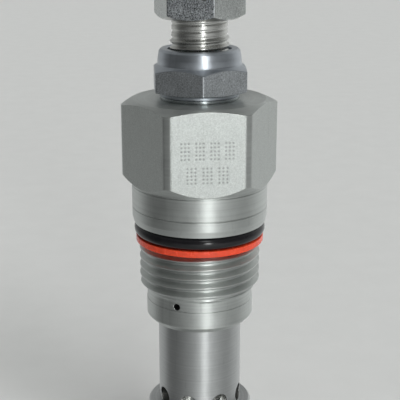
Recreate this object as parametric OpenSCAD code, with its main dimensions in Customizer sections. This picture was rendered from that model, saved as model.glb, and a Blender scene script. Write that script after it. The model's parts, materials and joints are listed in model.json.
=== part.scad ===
// Screw-in cartridge relief valve, pilot operated, with a hexagon-headed adjusting screw.
// Millimetres. The origin is on the axis at the nose face, and +Z runs towards the adjusting screw.
// Every height is measured from the nose face, and every seat, bore and thread is on the Z axis.

/* [Body hexagon] */
// Spanner size of the body hexagon, across flats
body_hex_af = 22.225; // [22.1:0.025:22.4]
// Radius that the six corners are turned down to
body_corner_r = 12.52; // [12.2:0.02:12.7]
// Height of the top face
body_top_z = 66.5; // [66.2:0.1:66.8]
// Radius of the flat part of the top face
body_top_r = 10.6; // [10.2:0.05:10.9]
// Height at which the top chamfer reaches the corners
body_top_chamfer_z = 65.64; // [65:0.02:65.7]
// Height at which the bottom chamfer reaches the corners
body_bottom_chamfer_z = 54.37; // [54.2:0.01:54.8]

/* [Shoulder and seal gland] */
// Radius of the locating shoulder
shoulder_r = 11.0; // [10.9:0.05:11.1]
// Height of the shoulder's top, where the hexagon begins
shoulder_top_z = 52.85; // [52.8:0.05:53.2]
// Height of the fine turned line around the shoulder
shoulder_line_z = 49.0; // [48.5:0.1:50]
// Height at which the shoulder's lower edge begins to draw in
shoulder_edge_z = 47.4; // [47:0.1:47.8]
// Radius of the shoulder's lower face
shoulder_face_r = 10.84; // [10.8:0.01:10.88]
// Height of the shoulder's lower face, the top wall of the gland
gland_top_z = 46.4; // [46.38:0.01:46.5]
// Height of the gland's bottom wall
gland_bottom_z = 43.1; // [43:0.05:43.12]
// Radius of the gland's floor
gland_floor_r = 8.5; // [8.4:0.05:8.5]
// Radius of the gland's bottom wall, where the thread's chamfer begins
gland_wall_r = 9.1; // [9:0.05:9.2]

/* [Cavity thread] */
// Crest radius of the cavity thread
cavity_thread_r = 9.9; // [9.8:0.05:9.95]
// Pitch of the cavity thread
cavity_thread_pitch = 1.5; // [1.4:0.05:1.55]
// Height of the thread's upper end
cavity_thread_top_z = 42.3; // [42.2:0.05:42.4]
// Height of the thread's lower end
cavity_thread_bottom_z = 34.9; // [34.8:0.05:35]

/* [Neck] */
// Radius of the neck below the thread
neck_r = 8.8; // [8.75:0.05:8.85]
// Radius of the undercut between the neck and the thread
undercut_r = 8.7; // [8.6:0.05:8.75]
// Height of the undercut's lower edge
undercut_z = 33.14; // [33:0.02:33.3]
// Height of the neck's lower end
neck_bottom_z = 29.4; // [29.2:0.1:29.6]
// Width of the neck's end chamfer
neck_chamfer = 1.0; // [0.9:0.1:1.4]
// Radius of the cross hole that the retaining wire is fed through
wire_hole_r = 0.55; // [0.5:0.05:0.55]
// Direction of the cross hole, in degrees from the front flat towards +X
wire_hole_angle = -31.85; // [-45:0.05:-20]

/* [Sleeve and nose] */
// Outer radius of the sleeve tube
sleeve_r = 6.9; // [6.8:0.05:6.9]
// Inner radius of the sleeve, which is the nose port's bore
sleeve_bore_r = 4.8; // [4.8:0.01:4.84]
// Height of the sleeve's upper end
sleeve_top_z = 36.6; // [36.4:0.1:36.8]
// Radius of the nose land
nose_r = 8.7; // [8.7:0.01:8.8]
// Height of the nose land's top
nose_top_z = 14.2; // [14:0.1:14.2]
// Number of port holes around the sleeve
port_hole_count = 8; // [4:1:8]
// Radius of each port hole
port_hole_r = 1.55; // [1.2:0.05:1.6]
// Height of the port holes' centres
port_hole_z = 15.8; // [15.8:0.1:16]
// Radius of the nose seal groove's floor
nose_groove_r = 6.88; // [6.8:0.02:6.88]
// Height of the nose seal groove's lower wall
nose_groove_z = 5.0; // [4.8:0.1:5]
// Height of the nose seal groove
nose_groove_h = 4.4; // [4.4:0.05:4.6]

/* [Piston and main spring] */
// Outer radius of the main piston
piston_r = 4.75; // [4.7:0.01:4.75]
// Height of the piston's lower end at rest
piston_bottom_z = 12.9; // [12.9:0.01:13]
// Height of the piston's upper end at rest
piston_top_z = 28.5; // [27:0.5:29]
// Radius of the piston's spring pocket
piston_pocket_r = 3.9; // [3.8:0.05:4]
// Height of the pocket's floor, which the main spring stands on
piston_floor_z = 17.0; // [17:0.05:17.2]
// Radius of the metering hole through the orifice plug
metering_r = 0.4; // [0.3:0.05:0.5]
// Mean radius of the main spring's coil
main_spring_r = 3.25; // [3.2:0.05:3.3]
// Wire radius of the main spring
main_wire_r = 0.35; // [0.3:0.05:0.4]
// Number of turns in the main spring
main_spring_turns = 9; // [6:1:10]

/* [Pilot stage] */
// Height of the pilot seat's lower face, which the main spring pushes on
seat_bottom_z = 34.6; // [34.5:0.1:34.8]
// Radius of the pilot seat's spigot inside the sleeve
seat_spigot_r = 4.72; // [4.65:0.01:4.74]
// Height of the underside of the pilot seat's flange
seat_flange_z = 37.2; // [37:0.1:37.4]
// Height of the shoulder in the body that the flange rests against
seat_top_z = 40.5; // [40.4:0.1:40.6]
// Height of the pilot seat's nose, where the poppet closes
seat_lip_z = 41.5; // [41.4:0.1:41.6]
// Radius of the pilot orifice
pilot_orifice_r = 0.8; // [0.6:0.05:0.9]
// Mean radius of the pilot spring's coil
pilot_spring_r = 2.5; // [2.45:0.05:2.55]
// Wire radius of the pilot spring
pilot_wire_r = 0.5; // [0.4:0.05:0.5]
// Number of turns in the pilot spring
pilot_spring_turns = 6; // [5:1:7]
// Height of the spring pad's lower face at rest
pad_bottom_z = 56.0; // [55.8:0.1:56.2]
// Height of the spring pad's upper face at rest
pad_top_z = 60.0; // [59.8:0.1:60]
// Outer radius of the spring pad
pad_r = 4.75; // [4.7:0.01:4.76]

/* [Adjusting screw] */
// Spanner size of the screw's head, across flats
screw_hex_af = 12.7; // [12.6:0.05:12.8]
// Height of the head's upper face at rest
screw_top_z = 85.3; // [84.5:0.1:86]
// Height of the head's underside at rest
screw_head_z = 79.06; // [79:0.02:79.2]
// Height at which the screw's thread ends below the head
screw_thread_top_z = 77.4; // [77.2:0.1:77.6]
// Crest radius of the screw's thread
screw_thread_r = 4.7; // [4.65:0.01:4.7]
// Pitch of the screw's thread, 24 turns to the inch
screw_thread_pitch = 1.0583; // [1:0.0001:1.1]
// Turn of the head's corners, in degrees
screw_hex_turn = -19.15; // [-60:0.05:60]

/* [Locknut] */
// Spanner size of the locknut, across flats
nut_hex_af = 14.29; // [14.2:0.01:14.4]
// Height of the locknut's washer face
nut_bottom_z = 67.07; // [67.07:0.01:67.1]
// Height of the hexagon's lower edge
nut_hex_z = 67.7; // [67.6:0.1:67.8]
// Height at which the hexagon's upper chamfer reaches the corners
nut_corner_z = 71.06; // [71:0.02:71.2]
// Height of the collar's foot, above the hexagon's chamfer
nut_collar_z = 71.95; // [71.9:0.05:72]
// Outer radius of the collar
nut_collar_r = 6.5; // [6.4:0.05:6.5]
// Height of the collar's rolled lip
nut_top_z = 74.4; // [74.3:0.02:74.42]
// Turn of the locknut's corners, in degrees
nut_hex_turn = 27.15; // [-60:0.05:60]
// Outer radius of the locknut's washer
washer_r = 6.35; // [6.2:0.05:6.5]

/* [Seals] */
// Section radius of the shoulder O-ring
shoulder_seal_section_r = 1.1; // [1:0.05:1.1]
// Mean radius of the shoulder O-ring
shoulder_seal_r = 9.62; // [9.6:0.01:9.7]
// Outer radius of the shoulder backup ring
shoulder_backup_r = 10.45; // [10.2:0.05:10.5]
// Thickness of the shoulder backup ring
shoulder_backup_h = 1.0; // [0.9:0.05:1]
// Section radius of the nose O-ring
nose_seal_section_r = 1.05; // [1:0.01:1.05]
// Mean radius of the nose O-ring
nose_seal_r = 7.95; // [7.95:0.01:8]
// Outer radius of the nose backup rings
nose_backup_r = 8.68; // [8.5:0.01:8.7]
// Thickness of each nose backup ring
nose_backup_h = 1.1; // [1:0.05:1.1]

/* [Hidden] */

// Facets on round shapes
round_fn = 96;
// How far a cutter runs past the face it opens
past = 1;
// Gap between faces that lie against each other but belong to pieces that move apart
face_gap = 0.02;
// Gap that a closed coil keeps from the next one
coil_gap = 0.03;
// Small edge break on turned pieces
edge = 0.3;
// Height of a thread's crest above its root, for each millimetre of pitch
thread_depth_ratio = 0.6134;

// Body cavities
body_bore_r = 4.81;
body_bore_mouth = 0.6;
counterbore_r = 7.15;
shoulder_line_depth = 0.14;
wire_z = 33.87;
wire_r = 0.5;
wire_mean_r = 7.1;
wire_groove_r = 7.7;
wire_groove_h = 1.14;
wire_end_gap = 24;
sleeve_wire_groove_r = 6.5;

// Nose and piston details
nose_chamfer = 0.6;
port_mouth = 0.4;
piston_web_bore_r = 2.52;
plug_r = 2.5;
plug_bottom_z = 13.45;
plug_top_z = 16.5;
plug_hex_af = 2.0;
plug_hex_depth = 1.4;
screen_r = 3.1;
screen_recess_r = 3.15;
screen_bottom_z = 12.95;
screen_top_z = 13.4;
screen_hole_r = 0.22;
screen_hole_pitch = 0.72;
screen_hole_rings = 3;
balance_groove_depth = 0.25;
balance_groove_h = 0.5;
balance_groove_step = 2.2;
balance_groove_count = 3;
balance_groove_first_z = 20.5;
stop_inner_r = 4.1;
stop_outer_r = 5.3;
stop_bottom_z = 12.0;
stop_top_z = 12.88;
stop_groove_r = 5.35;
stop_groove_bottom_z = 11.95;
stop_gap_w = 2.4;

// Pilot stage details
seat_flange_r = 7.14;
seat_nose_r = 2.4;
seat_nose_foot_r = 3.2;
seat_groove_z = 35.2;
seat_groove_h = 1.1;
seat_groove_r = 3.75;
seat_seal_r = 4.24;
seat_seal_section_r = 0.48;
seat_chamber_r = 2.0;
seat_chamber_top_z = 39.3;
drain_slot_w = 1.8;
drain_slot_count = 3;
drain_slot_inner_r = 3.9;
drain_slot_edge_r = 6.2;
drain_slot_z = 39.0;
poppet_cone_angle = 30;
poppet_tip_r = 0.25;
poppet_shoulder_r = 3.3;
poppet_shoulder_z = 43.4;
poppet_seat_z = 44.6;
poppet_stem_r = 1.5;
poppet_stem_top_z = 48.5;
pad_spigot_r = 1.9;
pad_spigot_z = 54.6;
pad_groove_r = 3.6;
pad_groove_z = 57.2;
pad_groove_h = 1.8;
pad_seal_r = 4.19;
pad_seal_section_r = 0.56;

// Screw and locknut details
screw_stem_r = 3.4;
screw_thread_bottom_z = 62.0;
screw_relief_r = 4.4;
screw_head_chamfer_r = 6.03;
screw_head_chamfer_h = 0.75;
nut_bore_r = 4.81;
nut_corner_r = 8.25;
nut_collar_foot_r = 6.68;
nut_fillet_top_z = 72.98;
nut_washer_face_r = 6.4;
nut_bottom_corner_z = 68.0;
nut_lip_z = 74.03;
nut_lip_r = 6.1;
insert_r = 5.6;
insert_bore_r = 4.75;
insert_bottom_z = 72.4;
insert_top_z = 74.0;
washer_bore_r = 4.9;
washer_top_z = 67.05;

// Helix steps to a turn, and sides of the wire
coil_steps = 16;
wire_sides = 8;

// Turned piece from an outline of [radius, height] points.
module turned(outline) {
    rotate_extrude($fn = round_fn) polygon(outline);
}

// Rectangular ring.
module ring(inner_r, outer_r, z0, z1) {
    turned([[inner_r, z0], [outer_r, z0], [outer_r, z1], [inner_r, z1]]);
}

// Ring of round section.
module o_ring(mean_r, section_r, z) {
    translate([0, 0, z])
        rotate_extrude($fn = round_fn) translate([mean_r, 0]) circle(r = section_r, $fn = 32);
}

// Cylinder along Z between two heights.
module post(r, z0, z1) {
    translate([0, 0, z0]) cylinder(r = r, h = z1 - z0, $fn = round_fn);
}

// Hexagonal bar along Z between two heights, with flats af apart.
module hex_bar(af, z0, z1, turn = 0) {
    rotate([0, 0, turn]) translate([0, 0, z0]) cylinder(r = af / 2 / cos(30), h = z1 - z0, $fn = 6);
}

// Outline of a thread's ridges, going up from z0 through a whole number of turns.
// The crest is cut back by a 45 degree chamfer that starts at start_r at z0.
function thread_outline(crest_r, pitch, z0, turns, start_r) =
    let (root_r = crest_r - thread_depth_ratio * pitch)
    [for (i = [0 : turns - 1], p = [[root_r, 0], [root_r, 1 / 4], [crest_r, 9 / 16], [crest_r, 11 / 16]])
        let (rise = (i + p[1]) * pitch) [min(p[0], start_r + rise), z0 + rise]];

// Height of a coil's centreline after t turns: one closed turn at each end, and open turns between.
function coil_z(t, turns, wire, z0, z1) =
    let (closed = 2 * wire + coil_gap, low = z0 + wire, open = (z1 - wire - closed) - (low + closed))
    t < 1 ? low + t * closed :
    t > turns - 1 ? z1 - wire - (turns - t) * closed :
    low + closed + open * (t - 1) / (turns - 2);

// Helical compression spring with closed ends between two heights.
module coil_spring(mean_r, wire, turns, z0, z1) {
    steps = turns * coil_steps;
    points = [for (s = [0 : steps], k = [0 : wire_sides - 1])
        let (a = 360 * s / coil_steps, b = 360 * k / wire_sides, r = mean_r + wire * cos(b))
        [r * cos(a), r * sin(a), coil_z(s / coil_steps, turns, wire, z0, z1) + wire * sin(b)]];
    walls = [for (s = [0 : steps - 1], k = [0 : wire_sides - 1])
        let (n = (k + 1) % wire_sides, q = s * wire_sides)
        each [[q + k, q + n, q + wire_sides + n], [q + k, q + wire_sides + n, q + wire_sides + k]]];
    first_end = [for (k = [wire_sides - 1 : -1 : 0]) k];
    last_end = [for (k = [0 : wire_sides - 1]) steps * wire_sides + k];
    polyhedron(points, concat([first_end], walls, [last_end]), convexity = turns);
}

module hex_body() {
    turns = floor((cavity_thread_top_z - cavity_thread_bottom_z) / cavity_thread_pitch);
    last_turn_z = cavity_thread_bottom_z + turns * cavity_thread_pitch;
    root_r = cavity_thread_r - thread_depth_ratio * cavity_thread_pitch;
    color("lightsteelblue") difference() {
        union() {
            intersection() {
                hex_bar(body_hex_af, shoulder_top_z, body_top_z);
                turned([
                    [0, shoulder_top_z], [shoulder_r, shoulder_top_z],
                    [body_corner_r, body_bottom_chamfer_z], [body_corner_r, body_top_chamfer_z],
                    [body_top_r, body_top_z], [0, body_top_z]
                ]);
            }
            turned(concat(
                [
                    [0, neck_bottom_z], [neck_r - neck_chamfer, neck_bottom_z],
                    [neck_r, neck_bottom_z + neck_chamfer], [neck_r, undercut_z],
                    [undercut_r, undercut_z + neck_r - undercut_r], [undercut_r, cavity_thread_bottom_z]
                ],
                thread_outline(
                    cavity_thread_r, cavity_thread_pitch, cavity_thread_bottom_z, turns, undercut_r),
                [
                    [root_r, last_turn_z], [root_r, last_turn_z + cavity_thread_pitch / 4],
                    [cavity_thread_r, last_turn_z + cavity_thread_pitch * 9 / 16],
                    [cavity_thread_r, cavity_thread_top_z],
                    [gland_wall_r, gland_bottom_z], [gland_floor_r, gland_bottom_z],
                    [gland_floor_r, gland_top_z], [shoulder_face_r, gland_top_z],
                    [shoulder_r, shoulder_edge_z],
                    [shoulder_r, shoulder_line_z - shoulder_line_depth],
                    [shoulder_r - shoulder_line_depth, shoulder_line_z],
                    [shoulder_r, shoulder_line_z + shoulder_line_depth],
                    [shoulder_r, shoulder_top_z + past], [0, shoulder_top_z + past]
                ]
            ));
        }
        post(body_bore_r, neck_bottom_z - past, body_top_z + past);
        turned([
            [0, body_top_z - body_bore_mouth], [body_bore_r, body_top_z - body_bore_mouth],
            [body_bore_r + body_bore_mouth + past, body_top_z + past], [0, body_top_z + past]
        ]);
        post(counterbore_r, neck_bottom_z - past, seat_top_z);
        post(wire_groove_r, wire_z - wire_groove_h / 2, wire_z + wire_groove_h / 2);
        rotate([0, 0, wire_hole_angle]) translate([0, -counterbore_r, wire_z]) rotate([90, 0, 0])
            cylinder(r = wire_hole_r, h = neck_r, $fn = round_fn);
    }
}

module adjusting_screw() {
    turns = floor((screw_thread_top_z - screw_thread_bottom_z) / screw_thread_pitch);
    root_r = screw_thread_r - thread_depth_ratio * screw_thread_pitch;
    thread_end_z = screw_thread_bottom_z + turns * screw_thread_pitch;
    color("gray") union() {
        turned(concat(
            [
                [0, pad_top_z + face_gap], [screw_stem_r - edge, pad_top_z + face_gap],
                [screw_stem_r, pad_top_z + face_gap + edge], [screw_stem_r, screw_thread_bottom_z]
            ],
            thread_outline(screw_thread_r, screw_thread_pitch, screw_thread_bottom_z, turns, screw_stem_r),
            [
                [root_r, thread_end_z], [screw_relief_r, screw_thread_top_z],
                [screw_relief_r, screw_head_z + past], [0, screw_head_z + past]
            ]
        ));
        intersection() {
            hex_bar(screw_hex_af, screw_head_z, screw_top_z, screw_hex_turn);
            turned([
                [0, screw_head_z], [screw_head_chamfer_r, screw_head_z],
                [screw_hex_af / 2 / cos(30), screw_head_z + screw_head_chamfer_h],
                [screw_hex_af / 2 / cos(30), screw_top_z - screw_head_chamfer_h],
                [screw_head_chamfer_r, screw_top_z], [0, screw_top_z]
            ]);
        }
    }
}

module locknut() {
    color("dimgray") difference() {
        union() {
            intersection() {
                hex_bar(nut_hex_af, nut_bottom_z, nut_collar_z, nut_hex_turn);
                turned([
                    [0, nut_hex_z], [nut_hex_af / 2 - edge, nut_hex_z], [nut_corner_r, nut_bottom_corner_z],
                    [nut_corner_r, nut_corner_z], [nut_collar_foot_r, nut_collar_z], [0, nut_collar_z]
                ]);
            }
            turned([
                [0, nut_bottom_z], [nut_washer_face_r, nut_bottom_z],
                [nut_washer_face_r, nut_hex_z + edge], [0, nut_hex_z + edge]
            ]);
            turned([
                [0, nut_corner_z], [nut_collar_foot_r, nut_corner_z], [nut_collar_foot_r, nut_collar_z],
                [nut_collar_r, nut_fillet_top_z], [nut_collar_r, nut_lip_z],
                [nut_lip_r, nut_top_z], [0, nut_top_z]
            ]);
        }
        post(nut_bore_r, nut_bottom_z - past, nut_top_z + past);
        post(insert_r, insert_bottom_z, insert_top_z);
        turned([
            [0, nut_bottom_z - past], [nut_bore_r + edge + past, nut_bottom_z - past],
            [nut_bore_r, nut_bottom_z + edge], [0, nut_bottom_z + edge]
        ]);
    }
}

module locknut_insert() {
    color("royalblue") ring(insert_bore_r, insert_r, insert_bottom_z, insert_top_z);
}

module locknut_washer() {
    color("slategray") ring(washer_bore_r, washer_r, body_top_z + face_gap, washer_top_z);
}

module spring_pad() {
    color("silver") turned([
        [0, pad_spigot_z], [pad_spigot_r - edge, pad_spigot_z], [pad_spigot_r, pad_spigot_z + edge],
        [pad_spigot_r, pad_bottom_z], [pad_r - edge, pad_bottom_z], [pad_r, pad_bottom_z + edge],
        [pad_r, pad_groove_z], [pad_groove_r, pad_groove_z],
        [pad_groove_r, pad_groove_z + pad_groove_h], [pad_r, pad_groove_z + pad_groove_h],
        [pad_r, pad_top_z - edge], [pad_r - edge, pad_top_z], [0, pad_top_z]
    ]);
}

module pad_o_ring() {
    color("black") o_ring(pad_seal_r, pad_seal_section_r, pad_groove_z + pad_groove_h / 2);
}

module pilot_spring() {
    color("darkgray")
        coil_spring(pilot_spring_r, pilot_wire_r, pilot_spring_turns, poppet_seat_z, pad_bottom_z);
}

module pilot_poppet() {
    contact_z = seat_lip_z + face_gap;
    tip_z = contact_z - (pilot_orifice_r - poppet_tip_r) / tan(poppet_cone_angle);
    cone_top_r = pilot_orifice_r + (poppet_shoulder_z - contact_z) * tan(poppet_cone_angle);
    color("gainsboro") turned([
        [0, tip_z], [poppet_tip_r, tip_z], [cone_top_r, poppet_shoulder_z],
        [poppet_shoulder_r, poppet_shoulder_z], [poppet_shoulder_r, poppet_seat_z],
        [poppet_stem_r, poppet_seat_z], [poppet_stem_r, poppet_stem_top_z - edge],
        [poppet_stem_r - edge, poppet_stem_top_z], [0, poppet_stem_top_z]
    ]);
}

module pilot_seat() {
    color("darkkhaki") difference() {
        turned([
            [0, seat_bottom_z], [seat_spigot_r - edge, seat_bottom_z],
            [seat_spigot_r, seat_bottom_z + edge], [seat_spigot_r, seat_groove_z],
            [seat_groove_r, seat_groove_z], [seat_groove_r, seat_groove_z + seat_groove_h],
            [seat_spigot_r, seat_groove_z + seat_groove_h], [seat_spigot_r, seat_flange_z],
            [seat_flange_r, seat_flange_z], [seat_flange_r, seat_top_z], [seat_nose_foot_r, seat_top_z],
            [seat_nose_r, seat_lip_z], [0, seat_lip_z]
        ]);
        post(seat_chamber_r, seat_bottom_z - past, seat_chamber_top_z);
        post(pilot_orifice_r, seat_chamber_top_z - past, seat_lip_z + past);
        for (i = [0 : drain_slot_count - 1]) rotate([0, 0, i * 360 / drain_slot_count]) {
            translate([drain_slot_inner_r, -drain_slot_w / 2, drain_slot_z])
                cube([seat_flange_r, drain_slot_w, seat_top_z - drain_slot_z + past]);
            translate([drain_slot_edge_r, -drain_slot_w / 2, seat_flange_z - past])
                cube([seat_flange_r, drain_slot_w, seat_top_z - seat_flange_z + 2 * past]);
        }
    }
}

module pilot_seat_o_ring() {
    color("black") o_ring(seat_seal_r, seat_seal_section_r, seat_groove_z + seat_groove_h / 2);
}

module retaining_wire() {
    color("silver") rotate([0, 0, wire_hole_angle - 90 + wire_end_gap / 2])
        translate([0, 0, wire_z])
            rotate_extrude(angle = 360 - wire_end_gap, $fn = round_fn)
                translate([wire_mean_r, 0]) circle(r = wire_r, $fn = 32);
}

module sleeve() {
    color("slategray") difference() {
        turned([
            [0, 0], [nose_r - nose_chamfer, 0], [nose_r, nose_chamfer], [nose_r, nose_groove_z],
            [nose_groove_r, nose_groove_z], [nose_groove_r, nose_groove_z + nose_groove_h],
            [nose_r, nose_groove_z + nose_groove_h], [nose_r, nose_top_z - edge],
            [nose_r - edge, nose_top_z], [sleeve_r, nose_top_z],
            [sleeve_r, wire_z - wire_groove_h / 2], [sleeve_wire_groove_r, wire_z - wire_groove_h / 2],
            [sleeve_wire_groove_r, wire_z + wire_groove_h / 2], [sleeve_r, wire_z + wire_groove_h / 2],
            [sleeve_r, sleeve_top_z - edge], [sleeve_r - edge, sleeve_top_z], [0, sleeve_top_z]
        ]);
        post(sleeve_bore_r, -past, sleeve_top_z + past);
        turned([
            [0, -past], [sleeve_bore_r + port_mouth + past, -past],
            [sleeve_bore_r, port_mouth], [0, port_mouth]
        ]);
        post(stop_groove_r, stop_groove_bottom_z, piston_bottom_z);
        for (i = [0 : port_hole_count - 1]) rotate([0, 0, (i + 0.5) * 360 / port_hole_count])
            translate([0, 0, port_hole_z]) rotate([90, 0, 0])
                cylinder(r = port_hole_r, h = sleeve_r + past, $fn = round_fn);
    }
}

module main_piston() {
    color("lightgray") difference() {
        turned([
            [0, piston_bottom_z], [piston_r - edge, piston_bottom_z], [piston_r, piston_bottom_z + edge],
            [piston_r, piston_top_z - edge], [piston_r - edge, piston_top_z], [0, piston_top_z]
        ]);
        post(piston_pocket_r, piston_floor_z, piston_top_z + past);
        post(piston_web_bore_r, piston_bottom_z, piston_floor_z + past);
        post(screen_recess_r, piston_bottom_z - past, screen_top_z);
        for (i = [0 : balance_groove_count - 1])
            ring(
                piston_r - balance_groove_depth, piston_r + past,
                balance_groove_first_z + i * balance_groove_step,
                balance_groove_first_z + i * balance_groove_step + balance_groove_h
            );
    }
}

module main_spring() {
    color("darkgray")
        coil_spring(main_spring_r, main_wire_r, main_spring_turns, piston_floor_z, seat_bottom_z);
}

module orifice_plug() {
    color("goldenrod") difference() {
        post(plug_r, plug_bottom_z, plug_top_z);
        post(metering_r, plug_bottom_z - past, plug_top_z + past);
        hex_bar(plug_hex_af, plug_top_z - plug_hex_depth, plug_top_z + past);
    }
}

module filter_screen() {
    color("khaki") difference() {
        post(screen_r, screen_bottom_z, screen_top_z);
        post(screen_hole_r, screen_bottom_z - past, screen_top_z + past);
        for (ring = [1 : screen_hole_rings], i = [0 : 6 * ring - 1]) rotate([0, 0, i * 60 / ring])
            translate([ring * screen_hole_pitch, 0, 0])
                post(screen_hole_r, screen_bottom_z - past, screen_top_z + past);
    }
}

module piston_stop_ring() {
    color("silver") difference() {
        ring(stop_inner_r, stop_outer_r, stop_bottom_z, stop_top_z);
        translate([0, -stop_gap_w / 2, stop_bottom_z - past])
            cube([stop_outer_r + past, stop_gap_w, stop_top_z - stop_bottom_z + 2 * past]);
    }
}

module shoulder_o_ring() {
    color("black") o_ring(
        shoulder_seal_r, shoulder_seal_section_r, gland_top_z - shoulder_seal_section_r - coil_gap);
}

module shoulder_backup_ring() {
    bottom_z = gland_bottom_z + face_gap;
    color("orangered") ring(gland_floor_r, shoulder_backup_r, bottom_z, bottom_z + shoulder_backup_h);
}

module nose_o_ring() {
    color("black") o_ring(nose_seal_r, nose_seal_section_r, nose_groove_z + nose_groove_h / 2);
}

module nose_backup_upper() {
    top_z = nose_groove_z + nose_groove_h - face_gap;
    color("orangered") ring(nose_groove_r, nose_backup_r, top_z - nose_backup_h, top_z);
}

module nose_backup_lower() {
    bottom_z = nose_groove_z + face_gap;
    color("orangered") ring(nose_groove_r, nose_backup_r, bottom_z, bottom_z + nose_backup_h);
}

hex_body();
adjusting_screw();
locknut();
locknut_insert();
locknut_washer();
spring_pad();
pad_o_ring();
pilot_spring();
pilot_poppet();
pilot_seat();
pilot_seat_o_ring();
retaining_wire();
sleeve();
main_piston();
main_spring();
orifice_plug();
filter_screen();
piston_stop_ring();
shoulder_o_ring();
shoulder_backup_ring();
nose_o_ring();
nose_backup_upper();
nose_backup_lower();
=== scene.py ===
"""Looks of the screw-in cartridge relief valve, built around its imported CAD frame.

Lengths are in millimetres in the frame's own axes until a mesh is made, and heights are from the nose face.
Angles go round the axis from +X towards +Y, so the front flat, which faces -Y, is at -90 degrees.
"""

import json
import math

import bmesh
import bpy
import numpy as np
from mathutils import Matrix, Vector


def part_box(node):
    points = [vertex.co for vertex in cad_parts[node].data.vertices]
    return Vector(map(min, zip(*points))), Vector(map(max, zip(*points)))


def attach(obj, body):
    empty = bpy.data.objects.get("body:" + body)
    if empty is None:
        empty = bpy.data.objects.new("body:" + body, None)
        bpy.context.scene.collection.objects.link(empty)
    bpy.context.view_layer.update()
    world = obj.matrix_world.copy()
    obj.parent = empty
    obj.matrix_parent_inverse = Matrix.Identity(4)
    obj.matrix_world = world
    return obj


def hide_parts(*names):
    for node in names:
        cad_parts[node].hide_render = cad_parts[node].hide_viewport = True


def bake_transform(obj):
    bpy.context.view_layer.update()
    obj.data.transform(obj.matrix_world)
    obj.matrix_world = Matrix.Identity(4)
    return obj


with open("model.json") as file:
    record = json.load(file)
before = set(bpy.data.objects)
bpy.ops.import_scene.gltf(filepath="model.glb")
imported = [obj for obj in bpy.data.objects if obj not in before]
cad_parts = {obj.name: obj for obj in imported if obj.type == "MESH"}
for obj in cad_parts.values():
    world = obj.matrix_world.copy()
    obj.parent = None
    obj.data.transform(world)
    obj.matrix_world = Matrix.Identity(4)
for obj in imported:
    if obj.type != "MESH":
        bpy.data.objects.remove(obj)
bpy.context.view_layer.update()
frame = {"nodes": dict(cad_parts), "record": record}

MM = 0.001


def low(node):
    """A node's lowest height."""
    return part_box(node)[0].z / MM


def high(node):
    """A node's highest height."""
    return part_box(node)[1].z / MM


def reach(node):
    """A round node's outer radius."""
    lowest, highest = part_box(node)
    return max(highest.x, -lowest.x, highest.y, -lowest.y) / MM


# Camera and light, in degrees and metres, with the lens in millimetres
CAMERA_AZIMUTH = -6.85
CAMERA_ELEVATION = 16.45
CAMERA_DISTANCE = 0.165
CAMERA_LENS = 90.72
AIM_HEIGHT = 0.0495
AIM_RIGHT = 0.000065
LAMP_AZIMUTH = 15.0

# Body, in millimetres
BODY_AF = 22.225
BODY_CORNER_R = 12.52
BODY_TOP = high("hex_body")
BODY_TOP_R = 10.6
BODY_TOP_CHAMFER = 0.86
HEX_FOOT = 52.85
HEX_FOOT_CHAMFER = 1.52
SHOULDER_R = 11.0
SHOULDER_LINE = 49.0
SHOULDER_LINE_DEPTH = 0.14
SHOULDER_TOP_LINE = 52.6
SHOULDER_TOP_LINE_DEPTH = 0.09
SHOULDER_EDGE = 47.45
SHOULDER_FACE_R = 10.72
GLAND_TOP = 46.4
GLAND_FLOOR_R = 8.5
GLAND_BOTTOM = 43.1
GLAND_WALL_R = 9.1
THREAD_R = 9.9
THREAD_PITCH = 1.5
THREAD_CREST = 39.24
THREAD_BOTTOM = 34.9
NECK_R = 8.8
UNDERCUT_R = 8.7
UNDERCUT = 33.14
NECK_BOTTOM = low("hex_body")
NECK_CHAMFER = 1.0
COUNTERBORE_R = 7.15
COUNTERBORE_TOP = 40.5
BODY_BORE_R = 4.81
BODY_BORE_MOUTH = 0.64
WIRE_Z = (low("retaining_wire") + high("retaining_wire")) / 2
WIRE_GROOVE_H = 1.14
WIRE_GROOVE_R = 7.7
CROSS_HOLE_R = 0.55
CROSS_HOLE_ANGLE = math.radians(-90 - 31.85)
CROSS_HOLE_BAND = (33.22, 34.6)
CROSS_HOLE_BREAKS = (0.07, 0.015)
CROSS_HOLE_REACH = math.radians(8)

# Plain dot blocks peened on the front flat: first and last dot across and in height, and number of blocks.
# A dent darkens the tone by MARK_DENT_TONE and sinks the bump's height by MARK_DENT_DEPTH micrometres.
MARKS = (((-4.1, 3.8), (59.13, 61.56), 4), ((-3.2, 2.9), (55.4, 57.69), 3))
MARK_DOT_R = 0.26
MARK_DENT_TONE = 0.4
MARK_DENT_DEPTH = 12.0

# Sleeve, in millimetres
SLEEVE_R = 6.9
SLEEVE_BORE_R = 4.8
SLEEVE_TOP = high("sleeve")
SLEEVE_WIRE_GROOVE_R = 6.5
NOSE_R = reach("sleeve")
NOSE_TOP = 14.2
NOSE_GROOVE_R = 6.88
SEAL_GROOVE_ROOM = 0.02
PORT_COUNT = 8
PORT_R = 1.5
PORT_Z = 15.85
PORT_BAND = (14.26, 17.9)
PORT_BREAKS = (0.1, 0.06)
STOP_GROOVE = (11.95, 12.9)
STOP_GROOVE_R = 5.35

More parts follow.
